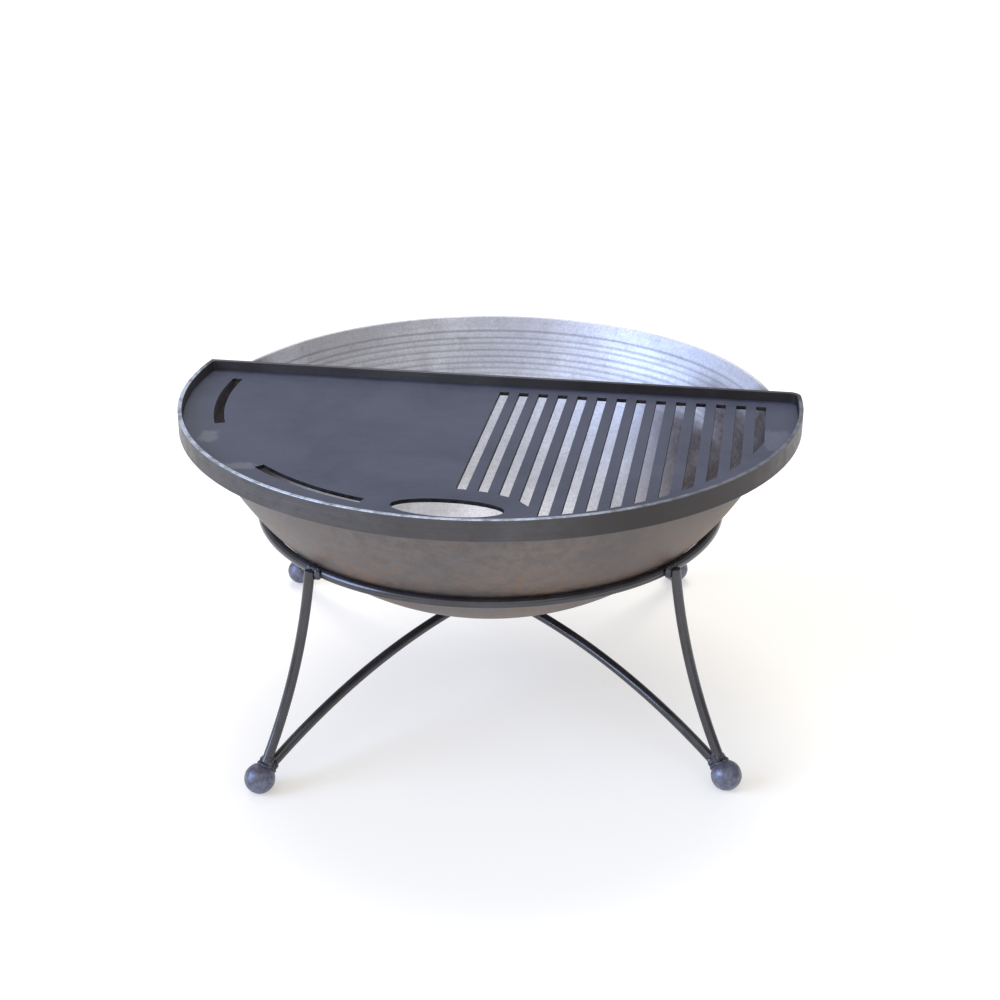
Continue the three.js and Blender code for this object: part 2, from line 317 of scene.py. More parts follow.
# %% The stand's finishes
def bar_finish():
    """Drawn round bar, brushed and oiled."""
    steel = Finish("oiled_black_bar", (0.02, 0.02, 0.025), metallic=0.2, specular=1.0)
    scale = steel.cloud(34, detail=6)
    fine = steel.cloud(420, detail=4, roughness=0.7)
    drawn = steel.cloud(160, detail=3)
    rust = steel.span(steel.cloud(23, detail=8, roughness=0.7), 0.60, 0.76, 0.0, 0.5)
    blue_black = steel.mix(steel.span(scale, 0.32, 0.68), (0.010, 0.009, 0.012), (0.024, 0.024, 0.034))
    tinged = steel.mix(rust, blue_black, (0.040, 0.026, 0.018))
    colour = steel.mix(steel.span(fine, 0.66, 0.80, 0, 0.3), tinged, (0.12, 0.12, 0.14))
    roughness = steel.plus(steel.span(scale, 0.3, 0.7, 0.17, 0.25), steel.times(rust, 0.3))
    pits = steel.relief(fine, 0.06 * MM)
    normal = steel.relief(drawn, 0.20 * MM, onto=pits, strength=0.4)
    return steel.wear(colour, roughness, normal)


def bead_finish():
    """Weld metal, spattered and tinted by heat."""
    steel = Finish("weld_bead_steel", (0.05, 0.05, 0.06), metallic=0.45, specular=0.8)
    heat = steel.cloud(140, detail=4)
    spatter = steel.cloud(600, detail=3, roughness=0.7)
    cool = steel.mix(steel.span(heat, 0.35, 0.65), (0.026, 0.025, 0.030), (0.070, 0.074, 0.095))
    colour = steel.mix(steel.span(heat, 0.62, 0.80, 0, 0.5), cool, (0.10, 0.065, 0.045))
    normal = steel.relief(spatter, 0.20 * MM)
    return steel.wear(colour, steel.span(heat, 0.3, 0.7, 0.18, 0.34), normal)


def ball_finish():
    """Forged steel, with rust in the dents."""
    steel = Finish("forged_grey_ball", (0.13, 0.14, 0.19), metallic=0.6)
    dents = steel.cloud(110, detail=5, roughness=0.65)
    fine = steel.cloud(520, detail=3, roughness=0.7)
    rust = steel.span(steel.cloud(46, detail=7, roughness=0.7), 0.52, 0.70, 0.0, 0.6)
    grey = steel.mix(steel.span(dents, 0.34, 0.66), (0.100, 0.104, 0.138), (0.180, 0.194, 0.268))
    tinged = steel.mix(rust, grey, (0.085, 0.058, 0.048))
    colour = steel.mix(steel.span(fine, 0.62, 0.78, 0, 0.4), tinged, (0.24, 0.25, 0.29))
    pits = steel.relief(fine, 0.10 * MM)
    normal = steel.relief(dents, 0.45 * MM, onto=pits, strength=0.6)
    return steel.wear(colour, steel.span(dents, 0.3, 0.7, 0.48, 0.34), normal)


BAR_STEEL = bar_finish()
BALL_STEEL = ball_finish()
BEAD_STEEL = bead_finish()
print("finishes", BAR_STEEL.name, BALL_STEEL.name, BEAD_STEEL.name)

# %% [markdown]
# ## Putting a piece on the bench
# Every piece below is a list of points and faces. This helper turns them into an object, smooths
# the faces that should look round, keeps the edges that should look sharp, and ties the piece to
# the body that carries it. "Stands for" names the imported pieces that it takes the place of.


# %% The bench helper
def put_piece(name, points, faces, finish, body, stands_for=(), sharp=50, layers=None):
    """Makes one finished piece. Edges that turn by more than "sharp" degrees stay crisp."""
    mesh = bpy.data.meshes.new(name)
    mesh.from_pydata([tuple(point) for point in points], [], faces)
    mesh.materials.append(finish)
    mesh.validate()
    mesh.shade_smooth()
    mesh.set_sharp_from_angle(angle=math.radians(sharp))
    for layer, values in (layers or {}).items():
        mesh.attributes.new(layer, "FLOAT", "POINT").data.foreach_set("value", values)
    piece = bpy.data.objects.new(name, mesh)
    bpy.context.scene.collection.objects.link(piece)
    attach(piece, body)
    {"stand": "stand", "bowl": "bowl"}.get(body, "plate")
    if stands_for:
        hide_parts(*stands_for)
    print(name, len(points), "points")
    return piece


def joined(parts):
    """Several (points, faces) lists as one, for pieces that a weld makes one."""
    points, faces = [], []
    for more_points, more_faces in parts:
        start = len(points)
        points += more_points
        faces += [tuple(start + i for i in face) for face in more_faces]
    return points, faces


# %% [markdown]
# ## Round bar, bent and welded
# A bar is a circle carried along a line. Every bar of this stand lies in one flat plane, as bars
# bent on a jig do, so the plane's own direction gives each circle a steady frame and the tube
# never twists. Ends that show are rounded over, as a saw cut is after a touch of the grinder.


# %% Bars
def carried_circle(path, radii, plane, sides, closed=False):
    """Points and faces of a tube whose circles have these radii along a path in one plane."""
    points, faces = [], []
    count = len(path)
    for i, centre in enumerate(path):
        ahead = path[(i + 1) % count] if closed or i + 1 < count else centre
        behind = path[i - 1] if closed or i > 0 else centre
        along = (ahead - behind).normalized()
        outward = along.cross(plane).normalized()
        for k in range(sides):
            turn = 2 * math.pi * k / sides
            points.append(centre + radii[i] * (math.cos(turn) * outward + math.sin(turn) * plane))
    for i in range(count if closed else count - 1):
        here, there = i * sides, ((i + 1) % count) * sides
        for k in range(sides):
            on = (k + 1) % sides
            faces.append((here + k, here + on, there + on, there + k))
    if not closed:
        last = (count - 1) * sides
        faces.append(tuple(reversed(range(sides))))
        faces.append(tuple(last + k for k in range(sides)))
    return points, faces


END_ROUNDING = 1.0 * MM
BAR_SIDES = 32


def round_bar(path, plane, radius=BAR_RADIUS):
    """A bar with rounded ends."""
    path = [point.copy() for point in path]
    radii = [radius] * len(path)
    steps = [(1 - math.sin(math.radians(a)), 1 - math.cos(math.radians(a))) for a in (22, 45, 68, 90)]
    for end, inner in ((0, 1), (-1, -2)):
        inward = (path[inner] - path[end]).normalized()
        tip = path[end].copy()
        path[end] = tip + inward * END_ROUNDING
        for share, drop in steps:
            place = tip + inward * END_ROUNDING * share
            size = radius - END_ROUNDING * drop
            path.insert(0, place) if end == 0 else path.append(place)
            radii.insert(0, size) if end == 0 else radii.append(size)
    return carried_circle(path, radii, plane, BAR_SIDES)


# %% [markdown]
# ## Weld beads
# A bead laid by hand is a row of small ripples, one for each time the torch paused, and no two are
# quite alike. A plain tube would read as a rubber ring. So the same carried circle is used, but
# its radius swells and shrinks along the path, and seeded draws make each ripple a little
# different. An open bead also tapers at its ends, where the torch was put down and lifted.

# %% Weld beads
RIPPLE_PITCH = 2.2 * MM
BEAD_SIDES = 14
BEAD_STEPS = 96


def weld_bead(path, plane, radius, seed, closed=False):
    """A bead laid along a path: each ripple is where the torch paused."""
    draw = random.Random(seed)
    lengths = [0.0]
    for one, other in zip(path, path[1:]):
        lengths.append(lengths[-1] + (other - one).length)
    total = lengths[-1] + ((path[0] - path[-1]).length if closed else 0)
    ripples = max(3, round(total / RIPPLE_PITCH))
    swell = [draw.uniform(0.88, 1.1) for _ in range(ripples)]
    radii = []
    for length in lengths:
        place = length / total * ripples
        phase = place % 1
        crest = 0.80 + 0.20 * math.sin(math.pi * phase) ** 0.5
        size = radius * crest * swell[int(place) % ripples]
        if not closed:
            size *= min(1.0, math.sqrt(max(0.0, min(length, total - length)) / radius) + 0.15)
        radii.append(size)
    return carried_circle(path, radii, plane, BEAD_SIDES, closed)


def circle_path(centre, normal, radius, count):
    """Points round a circle whose plane faces along the normal."""
    normal = normal.normalized()
    aside = normal.orthogonal().normalized()
    across = normal.cross(aside)
    spots = [2 * math.pi * k / count for k in range(count)]
    return [centre + radius * (math.cos(a) * aside + math.sin(a) * across) for a in spots]


def ring_bead(centre, normal, radius, thickness, seed):
    """A bead that runs all the way round a joint."""
    path = circle_path(centre, normal, radius, BEAD_STEPS)
    return weld_bead(path, normal.normalized(), thickness, seed, closed=True)


# %% [markdown]
# ## The ring
# The hoop that the bowl sits in is one bar, rolled until its ends meet and welded there. It could
# be a torus, but carrying the bar's own circle round keeps one way of making for every bar. The
# weld that closes it is turned to the back, as a maker would turn it.

# %% The ring
RING_STEPS = 288
ring_centre = Vector(((ring_low.x + ring_high.x) / 2, (ring_low.y + ring_high.y) / 2, RING_HEIGHT))
UP = Vector((0, 0, 1))
ring_path = [
    ring_centre + RING_RADIUS * Vector((math.cos(a), math.sin(a), 0))
    for a in (2 * math.pi * k / RING_STEPS for k in range(RING_STEPS))
]
ring_bar = carried_circle(ring_path, [BAR_RADIUS] * RING_STEPS, UP, BAR_SIDES, closed=True)
put_piece("ring_bar", *ring_bar, BAR_STEEL, "stand", ["support_ring"])
RING_WELD_AT = math.radians(97)
weld_way = Vector((-math.sin(RING_WELD_AT), math.cos(RING_WELD_AT), 0))
weld_spot = ring_centre + RING_RADIUS * Vector((math.cos(RING_WELD_AT), math.sin(RING_WELD_AT), 0))
closing = ring_bead(weld_spot, weld_way, BAR_RADIUS - 0.6 * MM, 1.7 * MM, seed=3)
put_piece("ring_closing_weld", *closing, BEAD_STEEL, "stand")

# %% [markdown]
# ## The bent bars
# Every leg has two bars: an upright that bows in from its ball foot to the ring's outer side, and
# an arch that runs from the same ball, under the bowl, to the ball opposite. On a bench both are
# pulled round a former, so both are plain arcs. Each is drawn flat first, as pairs of distance
# and height, because an arc is easy to work out on paper and hard to work out in the round.

# %% The two arcs, drawn as (distance from the axis, height)
BALL_RADIUS = 18 * MM
BALL_FLAT_RADIUS = 5 * MM
BALL_HEIGHT = math.sqrt(BALL_RADIUS**2 - BALL_FLAT_RADIUS**2)
FOOT_RADIUS = 382 * MM
UPRIGHT_BOW = 13 * MM
UPRIGHT_OVERRUN = 5 * MM
WELD_GAP = 0.3 * MM
CROSS_CLEARANCE = 1.5 * MM  # between the bowl and the arches under it
ARCH_HEIGHT = bowl_low.z - CROSS_CLEARANCE - BAR_RADIUS


def upright_arc(steps=56):
    foot = Vector((FOOT_RADIUS, BALL_HEIGHT))
    top = Vector((RING_RADIUS + 2 * BAR_RADIUS + 2 * WELD_GAP, RING_HEIGHT))
    chord = top - foot
    radius = (chord.length**2 / 4 + UPRIGHT_BOW**2) / (2 * UPRIGHT_BOW)
    outward = Vector((chord.y, -chord.x)).normalized()
    centre = (foot + top) / 2 + outward * (radius - UPRIGHT_BOW)
    start = math.atan2(foot.y - centre.y, foot.x - centre.x) % (2 * math.pi)
    end = math.atan2(top.y - centre.y, top.x - centre.x) % (2 * math.pi) - UPRIGHT_OVERRUN / radius
    angles = [start + (end - start) * i / steps for i in range(steps + 1)]
    return [(centre.x + radius * math.cos(a), centre.y + radius * math.sin(a)) for a in angles]


def arch_arc(share_from=0.0, share_to=1.0, steps=120):
    """The arch from one ball (share 0) over the axis (a half) to the other (1)."""
    rise = ARCH_HEIGHT - BALL_HEIGHT
    radius = (FOOT_RADIUS**2 + rise**2) / (2 * rise)
    half_span = math.asin(FOOT_RADIUS / radius)
    arc = []
    for i in range(steps + 1):
        share = share_from + (share_to - share_from) * i / steps
        angle = math.pi / 2 - half_span + 2 * half_span * share
        arc.append((radius * math.cos(angle), ARCH_HEIGHT - radius + radius * math.sin(angle)))
    return arc


print("upright", round(BALL_HEIGHT, 4), "to", round(RING_HEIGHT, 4), "arch top", round(ARCH_HEIGHT, 4))

# %% [markdown]
# ## Ball feet and lumps of weld
# The feet are forged balls, and each joint is buried in weld metal laid on by hand. A ball from
# the menu would be too perfect, and it has no flat to stand on. So a small lathe turns both kinds:
# it asks a surface rule how far out the skin lies in each direction, and seeded noise in the rule
# dents a ball a little and a lump of weld a lot.

# %% The feet and the lumps
BALL_ROWS, BALL_SEGMENTS = 40, 56
DENT_DEPTH = 0.16 * MM
LUMP_ROWS, LUMP_SEGMENTS = 26, 36
LUMP_FIRST_TILT = 0.06  # radians off straight down


def lathe_ball(surface, first_tilt, rows, segments):
    """A ball turned on a lathe, from a tilt off straight down up to the top, closed at both ends."""
    points, faces = [], []
    for row in range(rows):
        tilt = first_tilt + (math.pi - first_tilt) * row / rows
        out = math.sin(tilt)
        for k in range(segments):
            turn = 2 * math.pi * k / segments
            way = Vector((out * math.cos(turn), out * math.sin(turn), -math.cos(tilt)))
            points.append(surface(way, row))
    for row in range(rows - 1):
        here, there = row * segments, (row + 1) * segments
        for k in range(segments):
            on = (k + 1) % segments
            faces.append((here + k, here + on, there + on, there + k))
    top, last = len(points), (rows - 1) * segments
    points.append(surface(Vector((0, 0, 1)), rows))
    faces += [(last + k, last + (k + 1) % segments, top) for k in range(segments)]
    faces.append(tuple(reversed(range(segments))))
    return points, faces


def forged_ball(centre, seed):
    """A hot-forged ball, a little uneven, with the small flat that it stands on."""
    shift = Vector((seed * 7.3, seed * 3.1, 0))

    def surface(way, row):
        dent = DENT_DEPTH * (noise.noise(way * 2.4 + shift) - 0.6) if row else 0.0
        return centre + way * (BALL_RADIUS + dent)

    return lathe_ball(surface, math.acos(BALL_HEIGHT / BALL_RADIUS), BALL_ROWS, BALL_SEGMENTS)


def weld_lump(centre, lengthways, long_half, short_half, seed):
    """A lump of weld metal, longer one way, as uneven as a hand-held torch leaves it."""
    turned = lengthways.to_track_quat("Z", "Y")
    shift = Vector((seed * 5.7, seed * 2.3, seed * 1.1))

    def surface(way, row):
        lumps = 1 + 0.20 * noise.noise(way * 1.7 + shift) + 0.10 * noise.noise(way * 4.5 + shift)
        stretched = Vector((way.x * short_half, way.y * short_half, way.z * long_half))
        return centre + turned @ (stretched * lumps)

    return lathe_ball(surface, LUMP_FIRST_TILT, LUMP_ROWS, LUMP_SEGMENTS)


# %% [markdown]
# ## The four legs
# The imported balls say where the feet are, so each leg takes its direction from its own ball and
# nothing is placed by eye. The arcs are stood up in that direction. Then the joints are welded:
# at the ball, two lumps beside each bar, a bead round each bar and a lump in the fork between
# them; at the ring, a bead round the contact and a lump on either side of it.

# %% The welds' sizes
FOOT_LUMP = (7.8 * MM, 6.0 * MM)  # half its length and half its width
FOOT_LUMP_OUT = 2.5 * MM  # from the ball's skin to the lump's middle
FOOT_LUMP_ASIDE = 3.0 * MM
FOOT_BEAD = 2.9 * MM
FORK_LUMP = (11 * MM, 7.2 * MM)
FORK_LUMP_OUT = 4 * MM
RING_LUMP = (7.5 * MM, 4.6 * MM)
RING_LUMP_ASIDE = 6.5 * MM
RING_LUMP_RAISED = 0.5 * MM
RING_BEAD = 3.1 * MM
ARCH_START_SHARE = 0.2  # the part of the arch that shows which way it leaves the ball


# %% Legs
def leg_frame(number):
    """A leg's outward direction and its ball's middle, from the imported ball."""
    low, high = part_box(f"ball_foot_{number}")
    middle = (low + high) / 2
    outward = Vector((middle.x - ring_centre.x, middle.y - ring_centre.y, 0)).normalized()
    return outward, Vector((middle.x, middle.y, BALL_HEIGHT))


def stood_up(arc, outward):
    """An arc of (distance, height) pairs, stood up in the leg's own plane."""
    foot = Vector((ring_centre.x, ring_centre.y, 0))
    return [foot + outward * distance + UP * height for distance, height in arc]


def foot_welds(ball, plane, upright, arch, number):
    """The lumps and beads that join a leg's two bars to its ball."""
    welds = []
    for path, seed in ((upright, 10 + number), (arch, 20 + number)):
        way = (path[2] - path[0]).normalized()
        for side in (-1, 1):
            spot = ball + way * (BALL_RADIUS + FOOT_LUMP_OUT) + plane * side * FOOT_LUMP_ASIDE
            welds.append(weld_lump(spot, way, *FOOT_LUMP, seed + 7 * side))
        joint = ball + way * (BALL_RADIUS - 1.2 * MM)
        welds.append(ring_bead(joint, way, BAR_RADIUS + 0.9 * MM, FOOT_BEAD, seed))
    between = ((upright[3] + arch[3]) / 2 - ball).normalized()
    fork = ball + between * (BALL_RADIUS + FORK_LUMP_OUT)
    welds.append(weld_lump(fork, between, *FORK_LUMP, 30 + number))
    return welds


def ring_welds(outward, plane, number):
    """The bead and lumps that join a leg's upright to the ring."""
    contact = ring_centre + outward * (RING_RADIUS + BAR_RADIUS + WELD_GAP)
    welds = [ring_bead(contact, outward, 5.4 * MM, RING_BEAD, 30 + number)]
    for side in (-1, 1):
        crest = contact + plane * side * RING_LUMP_ASIDE + UP * RING_LUMP_RAISED
        welds.append(weld_lump(crest, UP, *RING_LUMP, 50 + 2 * number + side))
    return welds


def make_leg(number):
    outward, ball = leg_frame(number)
    plane = UP.cross(outward)
    upright = stood_up(upright_arc(), outward)
    arch = stood_up(arch_arc(0, ARCH_START_SHARE), outward)
    bar, foot = f"upright_{number}", f"ball_foot_{number}"
    put_piece(f"upright_bar_{number}", *round_bar(upright, plane), BAR_STEEL, "stand", [bar])
    put_piece(f"foot_ball_{number}", *forged_ball(ball, number), BALL_STEEL, "stand", [foot])
    at_foot = foot_welds(ball, plane, upright, arch, number)
    put_piece(f"foot_weld_{number}", *joined(at_foot), BEAD_STEEL, "stand")
    at_ring = ring_welds(outward, plane, number)
    put_piece(f"ring_weld_{number}", *joined(at_ring), BEAD_STEEL, "stand")


for number in range(1, 5):
    make_leg(number)

# %% [markdown]
# ## The arches under the bowl
# Two arches cross in the middle, where two bars can't both pass. The usual way is to run one arch
# through whole and to butt two halves against it, with a bead round each butt. So the whole arch
# is one bar here, and each half stops just short of it.

# %% The arches
SHORT_OF_MIDDLE = 0.0076  # share of the arch by which a half stops before its middle


def make_arches():
    first_way, _ = leg_frame(1)
    second_way, _ = leg_frame(2)
    whole = stood_up(arch_arc(), first_way)
    put_piece("arch_bar", *round_bar(whole, UP.cross(first_way)), BAR_STEEL, "stand", ["cross_arch"])
    beads = []
    for half, outward in ((1, second_way), (2, -second_way)):
        path = stood_up(arch_arc(0, 0.5 - SHORT_OF_MIDDLE, 60), outward)
        name = f"half_arch_bar_{half}"
        put_piece(name, *round_bar(path, UP.cross(outward)), BAR_STEEL, "stand", [f"half_arch_{half}"])
        way = (path[-1] - path[-3]).normalized()
        spot = path[-1] - way * 0.8 * MM - UP * 0.4 * MM
        beads.append(ring_bead(spot, way, BAR_RADIUS - 0.4 * MM, 1.6 * MM, 40 + half))
    put_piece("arch_crossing_weld", *joined(beads), BEAD_STEEL, "stand")


make_arches()

# %% [markdown]
# ## The bowl
# A spun bowl starts as a flat steel disc, pressed over a turning form by a roller. The roller
# leaves a groove at every pass, and these grooves are what the eye reads first inside the bowl.
# They could be painted on as bump, but they are cut into the wall here, because the bowl is seen
# from close by and the exported mesh should have them too. The profile is turned like a lathe
# would: rows crowd together at each groove and spread out between them, which saves points.

# %% Where the roller's grooves lie, along the wall from the rim
draw = random.Random(11)
GROOVES = [20 * MM, 30 * MM, 37.5 * MM, 47 * MM, 56 * MM, 64.5 * MM, 72 * MM, 80 * MM]
GROOVES_FADE_FROM = 70 * MM
GROOVES_END = 118 * MM
RIM_ANGLE = math.asin(RIM_RADIUS / DISH_RADIUS)
WALL_LENGTH = (DISH_RADIUS - BOWL_WALL) * RIM_ANGLE
while GROOVES[-1] < GROOVES_END - 8 * MM:
    GROOVES.append(GROOVES[-1] + draw.uniform(7.6, 9.4) * MM)


def pressed_depth(place):
    """The roller is pressed hardest near the rim, and eased off further down."""
    eased = (place - GROOVES_FADE_FROM) / (GROOVES_END - GROOVES_FADE_FROM)
    return draw.uniform(0.34, 0.50) * MM * (1 - min(max(eased, 0.0), 1.0) ** 1.5)


GROOVE_DEPTHS = [pressed_depth(place) for place in GROOVES]
DEEPEST_GROOVE = max(GROOVE_DEPTHS)
GROOVE_HALF = 2.3 * MM
print(len(GROOVES), "grooves")

# %% [markdown]
# ## The bowl's profile
# The bowl is turned from one profile: up the outside, over the rounded lip, and down the inside
# past the grooves. Each place on the profile also notes how deep in a groove it lies and which
# side of the wall it is on. The finishes use those notes for darkening the grooves and for
# telling the inside from the outside.

# %% The bowl's rows
BOWL_SEGMENTS = 176
OUTSIDE_ROWS = 60
LIP_ROUNDING = 1.2 * MM
LIP_START = 1 - 0.0025  # the share of the outside that is turned before the lip
GROOVE_REACH = 1.6  # in groove halves, from its middle to where the wall is plain again
PLAIN_ROWS = 24  # below the last groove


def inside_rows():
    """Distances from the rim, along the wall, at which the inside has a row of points."""
    rows = [LIP_ROUNDING, 3 * MM, 6 * MM, 10 * MM, 14 * MM, 17 * MM]
    for place in GROOVES:
        steps = (-GROOVE_REACH, -1.0, -0.55, 0.0, 0.55, 1.0, GROOVE_REACH)
        rows += [place + step * GROOVE_HALF for step in steps]
        rows.append(place + 4.2 * MM)
    last = rows[-1]
    rest = WALL_LENGTH - last
    rows += [last + rest * k / PLAIN_ROWS for k in range(1, PLAIN_ROWS)]
    return sorted(rows)


def groove_at(distance):
    """How deep the wall is grooved at that distance, and how far into a groove it is."""
    deepest, share = 0.0, 0.0
    for place, depth in zip(GROOVES, GROOVE_DEPTHS):
        near = abs(distance - place) / GROOVE_HALF
        if near < GROOVE_REACH:
            shape = max(0.0, math.cos(min(near, 1.0) * math.pi / 2)) ** 1.5
            deepest, share = max(deepest, depth * shape), max(share, shape * depth / DEEPEST_GROOVE)
    return deepest, share


def turned_bowl():
    """(radius from the axis, height, share of a groove, share of inside) along the profile."""
    inner = DISH_RADIUS - BOWL_WALL
    inner_rim = math.acos((DISH_CENTRE - bowl_high.z) / inner)
    profile = []
    for k in range(OUTSIDE_ROWS + 1):
        angle = RIM_ANGLE * k / OUTSIDE_ROWS * LIP_START
        out, down = DISH_RADIUS * math.sin(angle), DISH_RADIUS * math.cos(angle)
        profile.append((out, DISH_CENTRE - down, 0, 0))
    outer_corner = Vector((RIM_RADIUS, bowl_high.z))
    inner_corner = Vector((inner * math.sin(inner_rim), bowl_high.z))
    down_out = Vector((-math.cos(RIM_ANGLE), -math.sin(RIM_ANGLE)))
    down_in = Vector((-math.cos(inner_rim), -math.sin(inner_rim)))
    flat = Vector((-1, 0))
    for corner, before, after in ((outer_corner, down_out, flat), (inner_corner, -flat, down_in)):
        first, last = corner + before * LIP_ROUNDING, corner + after * LIP_ROUNDING
        for k in range(6):
            t = k / 5
            spot = first * (1 - t) ** 2 + corner * 2 * t * (1 - t) + last * t**2
            profile.append((spot.x, spot.y, 0, 0.5))
    for distance in inside_rows():
        depth, share = groove_at(distance)
        angle = inner_rim - distance / inner
        radius = inner + depth
        profile.append((radius * math.sin(angle), DISH_CENTRE - radius * math.cos(angle), share, 1))
    return profile


bowl_profile = turned_bowl()
print(len(bowl_profile), "rows in the bowl's profile")


# %% Turn the profile
def spin_profile(profile):
    """Turns the profile round the bowl's axis, closing both middles with a single point."""
    points, faces, groove, inside = [], [], [], []
    rows = profile[1:]
    for radius, height, share, within in rows:
        for k in range(BOWL_SEGMENTS):
            turn = 2 * math.pi * k / BOWL_SEGMENTS
            way = Vector((math.cos(turn), math.sin(turn), 0))
            fade = 0.72 + 0.5 * noise.noise(Vector((way.x * 1.3, way.y * 1.3, height * 40)))
            points.append(AXIS + way * radius + UP * height)
            groove.append(share * fade)
            inside.append(within)
    for row in range(len(rows) - 1):
        here, there = row * BOWL_SEGMENTS, (row + 1) * BOWL_SEGMENTS
        for k in range(BOWL_SEGMENTS):
            on = (k + 1) % BOWL_SEGMENTS
            faces.append((here + k, here + on, there + on, there + k))
    bottom, middle = len(points), len(points) + 1
    points += [AXIS + UP * profile[0][1], AXIS + UP * (bowl_low.z + BOWL_WALL)]
    groove += [0.0, 0.0]
    inside += [0.0, 1.0]
    last = (len(rows) - 1) * BOWL_SEGMENTS
    for k in range(BOWL_SEGMENTS):
        on = (k + 1) % BOWL_SEGMENTS
        faces.append((bottom, on, k))
        faces.append((last + k, last + on, middle))
    return points, faces, groove, inside


# %% [markdown]
# ## Two faces of the same steel
# Inside, the roller left the steel bright, with fine turning lines and cloudy patches of scale, and
# the grooves are coloured darker. Under the plate and low at the right, painted shade darkens it
# to brown. Outside, it rested in the weather: warm grey, blotched with the first orange rust, and
# darker towards the right as painted shade. The bowl is one mesh with two finishes, one for each
# side of the wall. The turning lines run round the bowl because their noise is asked for the place
# along the wall, and is drawn out more than a hundredfold across it.


# %% Where a place lies on the wall
def wall_distance(steel):
    """The place as (distance along the wall from the bottom, x, y), for lines that run round."""
    x = steel.less(steel.axis("X"), AXIS.x)
    y = steel.less(steel.axis("Y"), AXIS.y)
    out = steel.maths("SQRT", steel.plus(steel.times(x, x), steel.times(y, y)))
    drop = steel.less(DISH_CENTRE, steel.axis("Z"))
    along = steel.times(steel.maths("ARCTAN2", out, drop), DISH_RADIUS)
    together = steel.tree.nodes.new("ShaderNodeCombineXYZ")
    steel.feed(together.inputs["X"], along)
    steel.feed(together.inputs["Y"], x)
    steel.feed(together.inputs["Z"], y)
    return together.outputs[0]


def behind_axis(steel):
    """How far a place lies behind the bowl's axis, square to the plate's straight side."""
    x = steel.times(steel.less(steel.axis("X"), AXIS.x), -math.sin(PLATE_TURN))
    y = steel.times(steel.less(steel.axis("Y"), AXIS.y), math.cos(PLATE_TURN))
    return steel.plus(x, y)


# %% The painted shade under the plate
def painted_shade_under_plate(steel, bright):
    """The bright steel, darkened brown as painted shade: under the plate and low at the right."""
    across, height = steel.axis("X"), steel.axis("Z")
    behind = behind_axis(steel)

    def painted_shade_patch(place, lit_limit, shade_limit, lit_drop, shade_drop):
        """Full painted shade where the place is past the second limit and the wall lies far enough below
        the rim.
        """
        fallen = steel.span(height, bowl_high.z - lit_drop * MM, bowl_high.z - shade_drop * MM)
        return steel.times(steel.span(place, lit_limit, shade_limit), fallen)

    # Painted shade: the wall under the plate, low at the right and high in the right-hand corner,
    # darkened where the plate's shadow falls.
    plate_shade = painted_shade_patch(behind, 150 * MM, 80 * MM, 165, 95)
    right = painted_shade_patch(across, AXIS.x + 170 * MM, AXIS.x + 255 * MM, 58, 92)
    corner = painted_shade_patch(across, AXIS.x + 258 * MM, AXIS.x + 300 * MM, 14, 52)
    painted_shade = steel.most(plate_shade, steel.most(right, corner))
    blotch = steel.span(steel.cloud(26, detail=6, roughness=0.65), 0.25, 0.60, 0.80, 0.97)
    fine = steel.span(steel.cloud(180, detail=4), 0.35, 0.65)
    brown = steel.mix(fine, (0.060, 0.046, 0.046), (0.105, 0.082, 0.078))
    return steel.mix(steel.times(painted_shade, blotch), bright, brown)


# %% The inside's finish
def inside_finish():
    """Spun steel, bright, darker in its grooves."""
    steel = Finish("spun_bright_steel", (0.50, 0.51, 0.54), metallic=0.55)
    wrapped = wall_distance(steel)
    turning = steel.cloud(1, detail=6, roughness=0.75, where=steel.stretch((700, 5, 5), wrapped))
    bands = steel.cloud(1, detail=3, where=steel.stretch((110, 2.5, 2.5), wrapped))
    patches = steel.cloud(8, detail=8, roughness=0.62, distortion=0.4)
    blots = steel.cloud(60, detail=6, roughness=0.7)
    specks = steel.cloud(520, detail=2)
    grain = steel.cloud(300, detail=4, roughness=0.75)
    groove = steel.layer("groove")
    pale = steel.mix(steel.span(patches, 0.34, 0.66), (0.61, 0.61, 0.65), (0.79, 0.80, 0.85))
    banded = steel.mix(steel.span(bands, 0.35, 0.65, 0.0, 0.25), pale, (0.58, 0.58, 0.62))
    grained = steel.mix(steel.span(grain, 0.34, 0.66, 0.45, 0.0), banded, (0.38, 0.38, 0.41))
    lined = steel.mix(steel.span(turning, 0.35, 0.65, 0.25, 0.0), grained, (0.38, 0.38, 0.40))
    blotted = steel.mix(steel.span(blots, 0.54, 0.70, 0.0, 0.40), lined, (0.36, 0.34, 0.35))
    # Darker in the grooves, by how deep each one lies.
    groove_darkened = steel.mix(steel.times(groove, 0.50, True), blotted, (0.16, 0.15, 0.16))
    # Painted shade: darkened brown under the plate and low at the right.
    shaded_colour = painted_shade_under_plate(steel, groove_darkened)
    colour = steel.mix(steel.span(specks, 0.70, 0.76, 0.0, 0.6), shaded_colour, (0.85, 0.87, 0.9))
    roughness = steel.plus(steel.span(patches, 0.3, 0.7, 0.62, 0.50), steel.times(groove, 0.1))
    lines = steel.relief(turning, 0.07 * MM, strength=0.6)
    normal = steel.relief(blots, 0.20 * MM, onto=lines, strength=0.4)
    return steel.wear(colour, roughness, normal)


